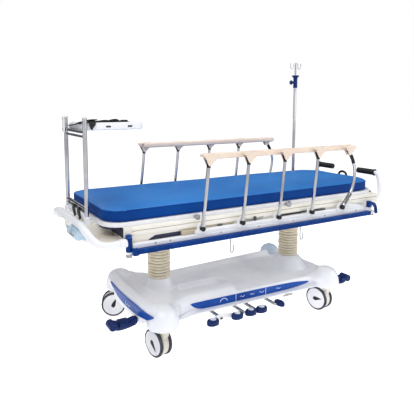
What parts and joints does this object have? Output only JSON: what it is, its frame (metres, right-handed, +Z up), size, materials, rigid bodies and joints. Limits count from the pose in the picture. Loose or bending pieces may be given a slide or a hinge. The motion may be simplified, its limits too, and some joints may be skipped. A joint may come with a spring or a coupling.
{
  "type": "patient stretcher trolley",
  "caption": "Wheeled hospital stretcher with a padded hinged deck, folding side guards, lifting columns, covered castor base, drip pole and foot-end shelf.",
  "frame": {"origin": "on the floor, under the middle of the whole trolley's bounding box", "axes": "+X towards the head end (push handles), +Y across to the far side, +Z up"},
  "size_m": [2.0999, 0.854, 1.6188],
  "materials": {
    "cover_white": "satin moulded cover",
    "column_paint": "satin paint",
    "bellows_beige": "matt pleated sleeve",
    "ram_steel": "ground steel",
    "castor_white": "satin",
    "tread_grey": "matt tread",
    "lens_blue": "gloss",
    "pedal_navy": "satin",
    "frame_cream": "satin paint",
    "deck_white": "satin",
    "mattress_blue": "coated cloth over foam",
    "post_chrome": "polished",
    "rail_cream": "satin",
    "bumper_blue": "satin",
    "tube_white": "satin paint",
    "roller_grey": "matt",
    "block_blue": "translucent moulding, modelled opaque",
    "tray_white": "satin",
    "clamp_navy": "satin",
    "loop_black": "matt"
  },
  "bodies": {
    "base": {"base_cover": "cover_white", "column_foot": "column_paint", "column_head": "column_paint", "bellows_foot": "bellows_beige", "bellows_head": "bellows_beige", "lens_near": "lens_blue", "lens_far": "lens_blue", "lens_foot": "lens_blue"},
    "foot_ram": {"ram_foot": "ram_steel"},
    "head_ram": {"ram_head": "ram_steel"},
    "bed": {"bed_frame": "frame_cream", "deck_seat": "deck_white", "mattress_seat": "mattress_blue", "mattress_fold": "mattress_blue", "side_panel_near": "frame_cream", "side_panel_far": "frame_cream", "bumper_near": "bumper_blue", "bumper_far": "bumper_blue", "corner_post_near": "tube_white", "corner_post_far": "tube_white", "foot_bar": "tube_white", "foot_block": "block_blue", "iv_pole": "post_chrome", "iv_clamp": "clamp_navy"},
    "backrest": {"deck_back": "deck_white", "mattress_back": "mattress_blue"},
    "castor_foot_near": {"castor_fork_foot_near": "castor_white"},
    "wheel_foot_near": {"castor_wheel_foot_near": "tread_grey"},
    "castor_foot_far": {"castor_fork_foot_far": "castor_white"},
    "wheel_foot_far": {"castor_wheel_foot_far": "tread_grey"},
    "castor_head_near": {"castor_fork_head_near": "castor_white"},
    "wheel_head_near": {"castor_wheel_head_near": "tread_grey"},
    "castor_head_far": {"castor_fork_head_far": "castor_white"},
    "wheel_head_far": {"castor_wheel_head_far": "tread_grey"},
    "post_near_1": {"guard_post_near_1": "post_chrome"},
    "post_near_2": {"guard_post_near_2": "post_chrome"},
    "post_near_3": {"guard_post_near_3": "post_chrome"},
    "post_near_4": {"guard_post_near_4": "post_chrome"},
    "post_near_5": {"guard_post_near_5": "post_chrome"},
    "rail_near": {"handrail_near": "rail_cream"},
    "post_far_1": {"guard_post_far_1": "post_chrome"},
    "post_far_2": {"guard_post_far_2": "post_chrome"},
    "post_far_3": {"guard_post_far_3": "post_chrome"},
    "post_far_4": {"guard_post_far_4": "post_chrome"},
    "post_far_5": {"guard_post_far_5": "post_chrome"},
    "rail_far": {"handrail_far": "rail_cream"},
    "pedals_tilt": {"pedal_tilt": "pedal_navy"},
    "pedals_pump": {"pedal_pump": "pedal_navy"},
    "pedals_lower": {"pedal_lower": "pedal_navy"},
    "pedals_steer": {"pedal_steer": "pedal_navy"},
    "brake_foot": {"brake_pedal_foot": "pedal_navy"},
    "brake_head": {"brake_pedal_head": "pedal_navy"},
    "roller": {"corner_roller": "roller_grey"},
    "shelf": {"monitor_frame": "post_chrome"},
    "tray": {"monitor_tray": "tray_white"},
    "drip_rod": {"iv_rod": "post_chrome"},
    "clamp_knob": {"iv_knob": "clamp_navy"},
    "handle_near": {"push_handle_near": "tube_white"},
    "handle_far": {"push_handle_far": "tube_white"},
    "release": {"release_loop": "loop_black"}
  },
  "joints": [
    {"name": "castor_foot_near_swivel", "type": "hinge", "parent": "base", "child": "castor_foot_near", "pos_m": [-0.626, -0.3, 0.155], "axis": [0, 0, 1], "continuous": true},
    {"name": "castor_foot_near_roll", "type": "hinge", "parent": "castor_foot_near", "child": "wheel_foot_near", "pos_m": [-0.63363, -0.26073, 0.075], "axis": [-0.9816, -0.1908, 0], "continuous": true},
    {"name": "castor_foot_far_swivel", "type": "hinge", "parent": "base", "child": "castor_foot_far", "pos_m": [-0.626, 0.3, 0.155], "axis": [0, 0, 1], "continuous": true},
    {"name": "castor_foot_far_roll", "type": "hinge", "parent": "castor_foot_far", "child": "wheel_foot_far", "pos_m": [-0.66282, 0.31563, 0.075], "axis": [-0.3907, -0.9205, 0], "continuous": true},
    {"name": "castor_head_near_swivel", "type": "hinge", "parent": "base", "child": "castor_head_near", "pos_m": [0.53, -0.3, 0.155], "axis": [0, 0, 1], "continuous": true},
    {"name": "castor_head_near_roll", "type": "hinge", "parent": "castor_head_near", "child": "wheel_head_near", "pos_m": [0.52305, -0.26061, 0.075], "axis": [-0.9848, -0.1736, 0], "continuous": true},
    {"name": "castor_head_far_swivel", "type": "hinge", "parent": "base", "child": "castor_head_far", "pos_m": [0.53, 0.3, 0.155], "axis": [0, 0, 1], "continuous": true},
    {"name": "castor_head_far_roll", "type": "hinge", "parent": "castor_head_far", "child": "wheel_head_far", "pos_m": [0.56913, 0.30832, 0.075], "axis": [-0.2079, 0.9781, 0], "continuous": true},
    {"name": "lift", "type": "slide", "parent": "base", "child": "foot_ram", "axis": [0, 0, 1], "range_m": [-0.1, 0], "deforming": ["bellows_foot", "bellows_head"]},
    {"name": "tilt", "type": "hinge", "parent": "foot_ram", "child": "bed", "pos_m": [-0.499, 0, 0.65], "axis": [0, 1, 0], "range_deg": [-4, 5]},
    {"name": "head_lift", "type": "slide", "parent": "foot_ram", "child": "head_ram", "axis": [0, 0, 1], "range_m": [-0.09, 0.075]},
    {"name": "backrest", "type": "hinge", "parent": "bed", "child": "backrest", "pos_m": [0.184, 0, 0.754], "axis": [0, -1, 0], "range_deg": [0, 70], "deforming": ["mattress_fold"]},
    {"name": "guard_near", "type": "hinge", "parent": "bed", "child": "post_near_1", "pos_m": [-0.443, -0.392, 0.69], "axis": [0, -1, 0], "range_deg": [0, 78]},
    {"name": "guard_near_post_2", "type": "hinge", "parent": "bed", "child": "post_near_2", "pos_m": [-0.193, -0.392, 0.69], "axis": [0, -1, 0], "range_deg": [0, 78]},
    {"name": "guard_near_post_3", "type": "hinge", "parent": "bed", "child": "post_near_3", "pos_m": [0.057, -0.392, 0.69], "axis": [0, -1, 0], "range_deg": [0, 78]},
    {"name": "guard_near_post_4", "type": "hinge", "parent": "bed", "child": "post_near_4", "pos_m": [0.307, -0.392, 0.69], "axis": [0, -1, 0], "range_deg": [0, 78]},
    {"name": "guard_near_post_5", "type": "hinge", "parent": "bed", "child": "post_near_5", "pos_m": [0.557, -0.392, 0.69], "axis": [0, -1, 0], "range_deg": [0, 78]},
    {"name": "guard_near_rail", "type": "hinge", "parent": "post_near_1", "child": "rail_near", "pos_m": [-0.421, -0.392, 1.042], "axis": [0, -1, 0], "range_deg": [-78, 0]},
    {"name": "guard_far", "type": "hinge", "parent": "bed", "child": "post_far_1", "pos_m": [-0.443, 0.392, 0.69], "axis": [0, -1, 0], "range_deg": [0, 78]},
    {"name": "guard_far_post_2", "type": "hinge", "parent": "bed", "child": "post_far_2", "pos_m": [-0.193, 0.392, 0.69], "axis": [0, -1, 0], "range_deg": [0, 78]},
    {"name": "guard_far_post_3", "type": "hinge", "parent": "bed", "child": "post_far_3", "pos_m": [0.057, 0.392, 0.69], "axis": [0, -1, 0], "range_deg": [0, 78]},
    {"name": "guard_far_post_4", "type": "hinge", "parent": "bed", "child": "post_far_4", "pos_m": [0.307, 0.392, 0.69], "axis": [0, -1, 0], "range_deg": [0, 78]},
    {"name": "guard_far_post_5", "type": "hinge", "parent": "bed", "child": "post_far_5", "pos_m": [0.557, 0.392, 0.69], "axis": [0, -1, 0], "range_deg": [0, 78]},
    {"name": "guard_far_rail", "type": "hinge", "parent": "post_far_1", "child": "rail_far", "pos_m": [-0.421, 0.392, 1.042], "axis": [0, -1, 0], "range_deg": [-78, 0]},
    {"name": "pedal_tilt_press", "type": "hinge", "parent": "base", "child": "pedals_tilt", "pos_m": [-0.313, 0, 0.172], "axis": [0, 1, 0], "range_deg": [-10, 10], "stiffness_Nm_per_rad": 6},
    {"name": "pedal_pump_press", "type": "hinge", "parent": "base", "child": "pedals_pump", "pos_m": [-0.164, 0, 0.172], "axis": [0, 1, 0], "range_deg": [0, 14], "stiffness_Nm_per_rad": 6},
    {"name": "pedal_lower_press", "type": "hinge", "parent": "base", "child": "pedals_lower", "pos_m": [-0.087, 0, 0.172], "axis": [0, 1, 0], "range_deg": [0, 14], "stiffness_Nm_per_rad": 6},
    {"name": "pedal_steer_press", "type": "hinge", "parent": "base", "child": "pedals_steer", "pos_m": [0.057, 0, 0.172], "axis": [0, 1, 0], "range_deg": [-12, 12]},
    {"name": "brake_foot_press", "type": "hinge", "parent": "base", "child": "brake_foot", "pos_m": [-0.725, -0.155, 0.168], "axis": [0, -1, 0], "range_deg": [-10, 10]},
    {"name": "brake_head_press", "type": "hinge", "parent": "base", "child": "brake_head", "pos_m": [0.662, -0.27, 0.168], "axis": [0, 1, 0], "range_deg": [-10, 10]},
    {"name": "roller_spin", "type": "hinge", "parent": "bed", "child": "roller", "pos_m": [-0.972, 0.405, 0.692], "axis": [0, 0, 1], "continuous": true},
    {"name": "shelf_lift", "type": "slide", "parent": "bed", "child": "shelf", "axis": [0, 0, 1], "range_m": [0, 0.06]},
    {"name": "tray_fold", "type": "hinge", "parent": "shelf", "child": "tray", "pos_m": [-0.957, 0, 1.182], "axis": [0, 1, 0], "range_deg": [0, 90]},
    {"name": "drip_rod_height", "type": "slide", "parent": "bed", "child": "drip_rod", "axis": [0, 0, 1], "range_m": [0, 0.45]},
    {"name": "clamp_knob_turn", "type": "hinge", "parent": "bed", "child": "clamp_knob", "pos_m": [0.8067, 0.362, 1.474], "axis": [-1, 0, 0], "continuous": true},
    {"name": "push_handle_near_fold", "type": "hinge", "parent": "bed", "child": "handle_near", "pos_m": [0.9305, -0.28, 0.667], "axis": [-1, 0, 0], "range_deg": [0, 90]},
    {"name": "push_handle_far_fold", "type": "hinge", "parent": "bed", "child": "handle_far", "pos_m": [0.9305, 0.28, 0.667], "axis": [1, 0, 0], "range_deg": [0, 90]},
    {"name": "release_pull", "type": "hinge", "parent": "backrest", "child": "release", "pos_m": [0.955, 0, 0.722], "axis": [0, 1, 0], "range_deg": [0, 12], "stiffness_Nm_per_rad": 3}
  ],
  "couplings": [
    {"joint": "head_lift", "follows": "tilt", "m_per_rad": -0.98},
    {"joint": "guard_near_post_2", "follows": "guard_near", "ratio": 1},
    {"joint": "guard_near_post_3", "follows": "guard_near", "ratio": 1},
    {"joint": "guard_near_post_4", "follows": "guard_near", "ratio": 1},
    {"joint": "guard_near_post_5", "follows": "guard_near", "ratio": 1},
    {"joint": "guard_near_rail", "follows": "guard_near", "ratio": -1},
    {"joint": "guard_far_post_2", "follows": "guard_far", "ratio": 1},
    {"joint": "guard_far_post_3", "follows": "guard_far", "ratio": 1},
    {"joint": "guard_far_post_4", "follows": "guard_far", "ratio": 1},
    {"joint": "guard_far_post_5", "follows": "guard_far", "ratio": 1},
    {"joint": "guard_far_rail", "follows": "guard_far", "ratio": -1}
  ]
}
